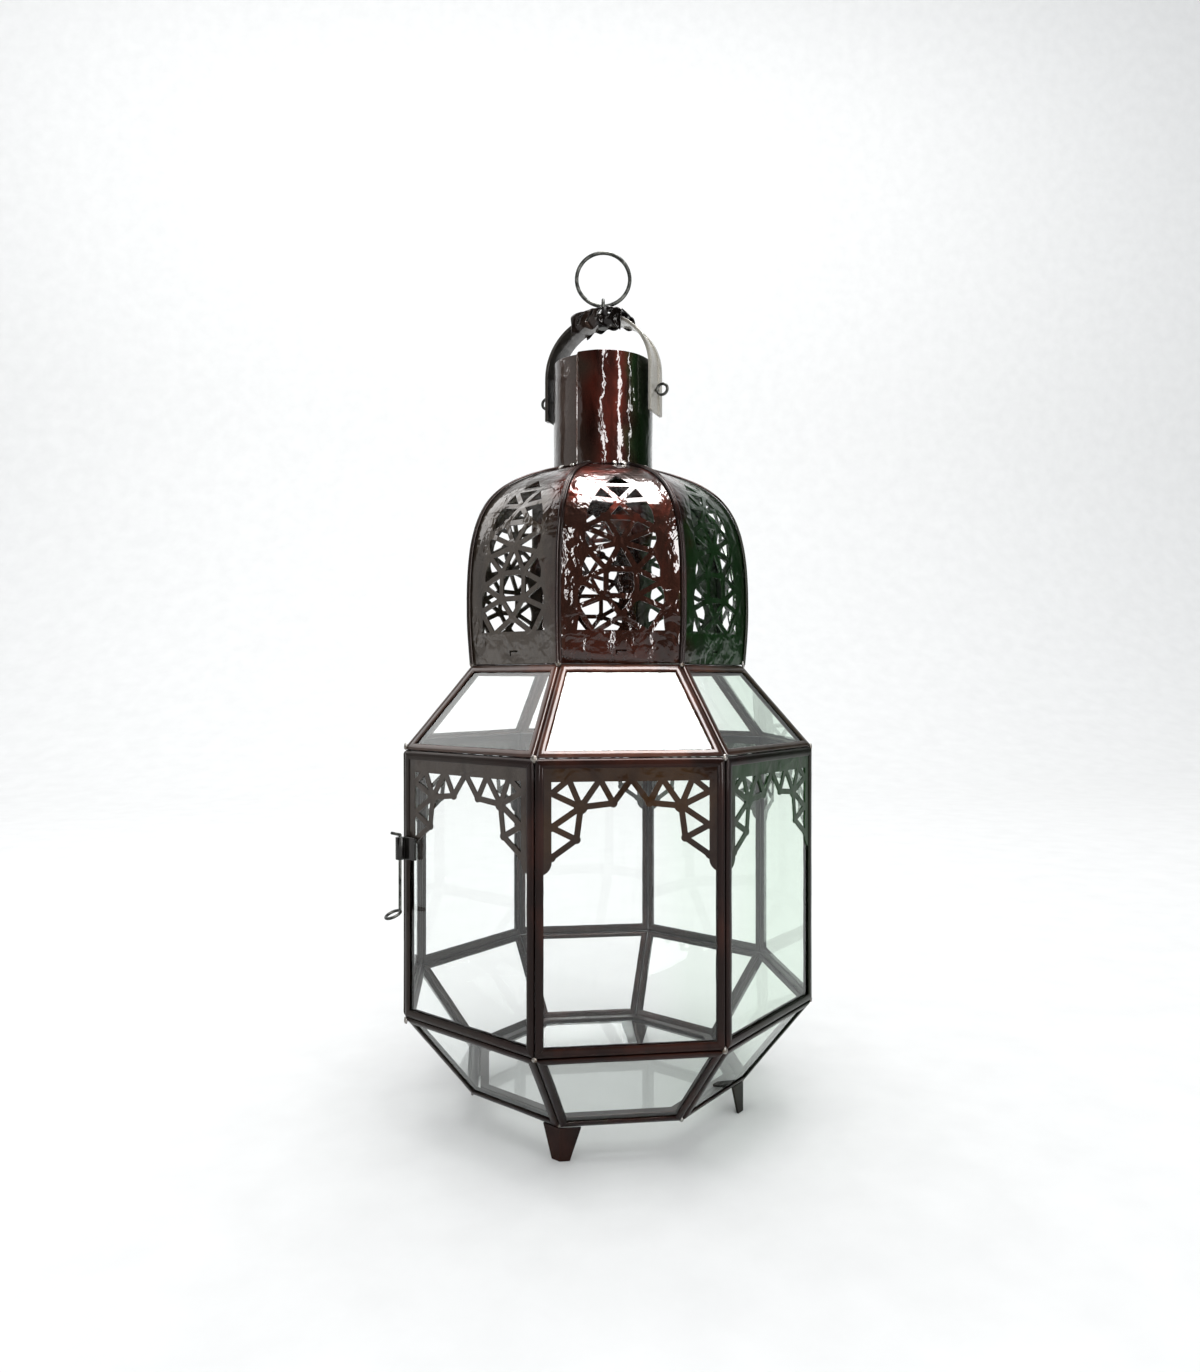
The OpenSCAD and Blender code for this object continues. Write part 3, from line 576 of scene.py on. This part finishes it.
def solder_dabs():
    """Solder at the corners of the body and of the dome, and along the chimney's foot."""
    rng = random.Random(7)
    thick, chimney_thick = 0.75, 0.5
    verts, faces = [], []
    post_r, bottom_r = BODY_A / math.cos(HALF), BOTTOM_A / math.cos(HALF)
    beside_door, clear_of_door = (DOOR_FACE, DOOR_FACE + 1), 1.9
    for k in SIDES:
        out, across = post_way(k)
        shift = clear_of_door if k in beside_door else 0
        for r, z, size in ((post_r - 1.3, RIM_Z + shift, 1.6), (post_r - 1.3, BAND_Z - shift, 1.5),
                           (DOME_R + 0.2, DOME_Z + 0.1, 1.9), (bottom_r - 0.8, BOTTOM_Z + 1.0, 1.4)):
            centre = out * r + across * rng.uniform(-0.4, 0.4) + Vector((0, 0, z + rng.uniform(-0.5, 0.5)))
            dab(verts, faces, centre, out, size * rng.uniform(0.75, 1.15), thick, rng.uniform(0, 9))
        for n in range(2):
            turn = math.radians(45 * k + 22 * n + rng.uniform(-8, 8))
            way = Vector((math.cos(turn), math.sin(turn), 0))
            centre = way * (CHIMNEY_R - 0.1) + Vector((0, 0, CHIMNEY_Z + rng.uniform(0.2, 0.6)))
            dab(verts, faces, centre, way + Vector((0, 0, 0.9)), rng.uniform(1.0, 2.4), chimney_thick,
                rng.uniform(0, 9))
    return piece("solder_dabs", verts, faces, solder_mat, "body", "dark_strip", smooth=80)


solder_dabs()


def crimped_saddle():
    """Saddle over the bail's arch: thin pierced sheet, pinched by hand into folds along both edges."""
    half_long, half_wide, corner = 14.6, 9.2, 2.2
    cheeks = {1: 5.6, -1: 10.4}        # how far each side hangs down
    thickness, slit_pitch, slit_width, eye_long, eye_wide = 0.6, 5.6, 1.3, 4.6, 5.6
    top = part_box("bail_crown")[1].z / MM - 0.7
    ahead = Vector((math.cos(BAIL_TURN), math.sin(BAIL_TURN), 0))
    aside = Vector((-ahead.y, ahead.x, 0))
    long_steps, wide_steps = 64, 56
    flat_run = half_wide - corner
    bend_run = corner * math.pi / 2
    grid, open_cells = [], set()
    folds = 11.0                       # radians of folding from the saddle's middle to its end
    for i in range(long_steps + 1):
        s = -1 + 2 * i / long_steps
        row = []
        for j in range(wide_steps + 1):
            share = -1 + 2 * j / wide_steps
            sign = 1 if share > 0 else -1
            reach = flat_run + bend_run + cheeks[sign] - corner
            far = abs(share) * reach
            if far <= flat_run:
                y, z, bend = far, 0.0, 0.0
            elif far <= flat_run + bend_run:
                bend = (far - flat_run) / corner
                y, z = flat_run + corner * math.sin(bend), corner * (math.cos(bend) - 1)
            else:
                y, z, bend = half_wide, -corner - (far - flat_run - bend_run), math.pi / 2
            edge = max(0.0, (far - flat_run) / (reach - flat_run))
            fold = math.sin(s * folds + far * 0.35 * sign)
            crease = ripple((s * 14, far * sign, 0), 2.6, 4.4)
            lump = ripple((s * 14, far * sign, 3), 6.0, 7.7)
            out = 0.5 + (0.5 * fold + 0.1) * edge + 0.45 * crease + 0.5 * lump
            out = max(out, 0.0) if bend > 0.7 else min(out, 0.9) - 0.6
            z += 0.8 * math.cos(s * folds + 1.3 * sign) * edge ** 3
            sag = 2.6 * abs(s) ** 3 + 0.5 * ripple((s * 14, far * sign, 9), 9, 1.1)
            row.append(ahead * s * half_long * (1 - 0.06 * edge) + aside * sign * (y + math.sin(bend) * out)
                       + Vector((0, 0, top + z + math.cos(bend) * out - sag)))
            slant = (s * half_long + 0.8 * (far - flat_run)) % slit_pitch
            slit = 0.3 < edge < 0.7 and slant < slit_width and abs(s) < 0.85
            eye_hole = math.hypot(s * half_long / eye_long, far / eye_wide) < 1
            if slit or eye_hole:
                open_cells.add((i, j))
        grid.append(row)
    verts = [spot for row in grid for spot in row]
    wide = wide_steps + 1
    faces = [(i * wide + j, (i + 1) * wide + j, (i + 1) * wide + j + 1, i * wide + j + 1)
             for i in range(long_steps) for j in range(wide_steps) if (i, j) not in open_cells]
    saddle = piece("crown_saddle", verts, faces, black_mat, "bail", "blackened_sheet", "bail_crown", smooth=60)
    thick = saddle.modifiers.new("sheet", "SOLIDIFY")
    thick.thickness = thickness * MM
    thick.offset = 0
    soft = saddle.modifiers.new("soft", "SUBSURF")
    soft.levels = 1
    soft.render_levels = 1
    return saddle


crimped_saddle()


# ---- room, lights and camera ----

def paper_sweep():
    """Floor and wall in one curved sheet of pale paper, in metres."""
    front, back, bend, top, half_wide, bend_steps = -3.0, 1.2, 1.0, 4.0, 4.0, 16
    profile = [(front, 0.0), (back, 0.0)]
    for step in range(1, bend_steps + 1):
        turn = math.radians(90 * step / bend_steps)
        profile.append((back + bend * math.sin(turn), bend - bend * math.cos(turn)))
    profile.append((back + bend, top))
    verts = [(x, y, z) for y, z in profile for x in (-half_wide, half_wide)]
    faces = [(2 * i, 2 * i + 1, 2 * i + 3, 2 * i + 2) for i in range(len(profile) - 1)]
    mesh = bpy.data.meshes.new("paper_sweep")
    mesh.from_pydata(verts, [], faces)
    for p in mesh.polygons:
        p.use_smooth = True
    mesh.materials.append(paper_mat)
    obj = bpy.data.objects.new("paper_sweep", mesh)
    bpy.context.scene.collection.objects.link(obj)
    return obj


def softbox(name, place, aim, width, height, bright, mirrored=True, lights_all=True):
    """A flat panel of the given radiance, facing its aim or, with none, straight down.

    One with lights_all off is a white card that shows only as gloss on metal and glass."""
    light = bpy.data.lights.new(name, "AREA")
    light.shape = "RECTANGLE"
    light.size, light.size_y = width, height
    light.energy = math.pi * width * height * bright
    obj = bpy.data.objects.new(name, light)
    obj.location = place
    if aim:
        obj.rotation_euler = (Vector(aim) - Vector(place)).to_track_quat("-Z", "Y").to_euler()
    obj.visible_camera = False
    obj.visible_glossy = mirrored
    obj.visible_diffuse = lights_all
    bpy.context.scene.collection.objects.link(obj)
    return obj


paper_sweep()
softbox("sky_panel", (0.0, -0.35, 1.7), (0, -0.05, 0.3), 1.0, 1.1, 3.0, mirrored=False)
softbox("sky_card", (0.22, -0.18, 1.72), None, 0.62, 1.37, 24, lights_all=False)
softbox("left_card", (-1.5, -0.25, 0.5), (0, 0, 0.25), 1.2, 1.2, 0.75)
softbox("left_sky", (-1.0, 0.5, 1.23), (-0.06, -0.06, 0.2), 1.0, 0.9, 3.2, lights_all=False)
softbox("wall_wash", (0.0, 0.9, 2.2), (0, 1.9, 0.6), 3.4, 0.6, 3.2, mirrored=False)
STREAK_FAR, STREAK_HIGH, STREAK_BRIGHT = 1.5, 1.3, 20
for name, degrees, width in (("streak_back", -97, 0.09), ("streak_mid", -61, 0.2), ("streak_right", -34, 0.05)):
    turn = math.radians(degrees)
    softbox(name, (STREAK_FAR * math.cos(turn), STREAK_FAR * math.sin(turn), 0.62), (0, 0, 0.35),
            width, STREAK_HIGH, STREAK_BRIGHT, lights_all=False)

world = bpy.data.worlds.new("studio")
bpy.context.scene.world = world
world.use_nodes = True
background = world.node_tree.nodes["Background"].inputs
background["Color"].default_value = colour(0.95, 0.97, 1.0)
background["Strength"].default_value = 0.82
world.cycles_visibility.glossy = False
bpy.context.scene.view_settings.view_transform = "Standard"

# The camera's place, aim and lens as recovered from the octagons in the photo, with its framing in the shift.
camera_data = bpy.data.cameras.new("camera")
camera_data.sensor_width = 36
camera_data.lens = 24.73
camera_data.clip_start = 0.01
camera_data.shift_x, camera_data.shift_y = -0.0022, -0.0030
camera = bpy.data.objects.new("camera", camera_data)
camera.location = (-0.0597, -0.4934, 0.217)
camera.rotation_euler = Vector((0.120, 0.993, 0)).to_track_quat("-Z", "Y").to_euler()
bpy.context.scene.collection.objects.link(camera)
bpy.context.scene.camera = camera
